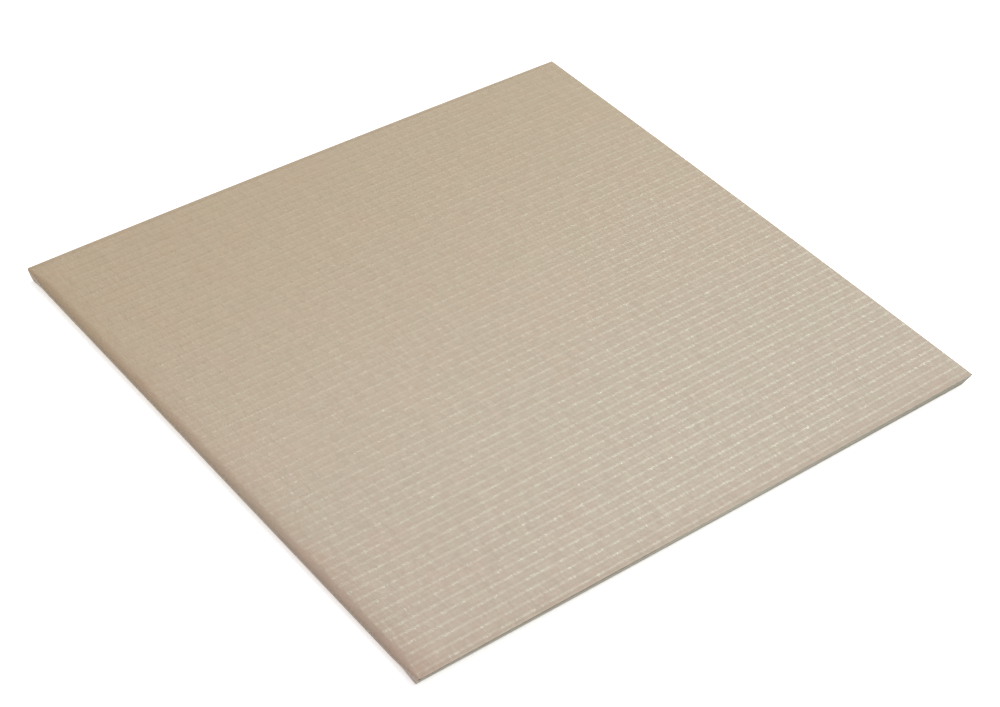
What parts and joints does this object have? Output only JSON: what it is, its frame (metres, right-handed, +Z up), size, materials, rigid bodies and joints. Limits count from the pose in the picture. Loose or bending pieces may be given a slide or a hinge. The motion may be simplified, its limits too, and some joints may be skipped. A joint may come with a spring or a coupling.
{
  "type": "tatami mat",
  "caption": "Thin square borderless floor mat: a ribbed woven straw facing folded over a board, with sides that slant in towards a flat underside.",
  "frame": {"origin": "middle of the underside, on the floor", "axes": "+Z up; +X along the ribs of the weave; +Y along its strands"},
  "size_m": [0.82, 0.82, 0.016],
  "materials": {
    "woven_facing": "fine ribbed weave of warm beige strands, soft low sheen"
  },
  "bodies": {
    "root": {"mat": "woven_facing"}
  },
  "joints": []
}
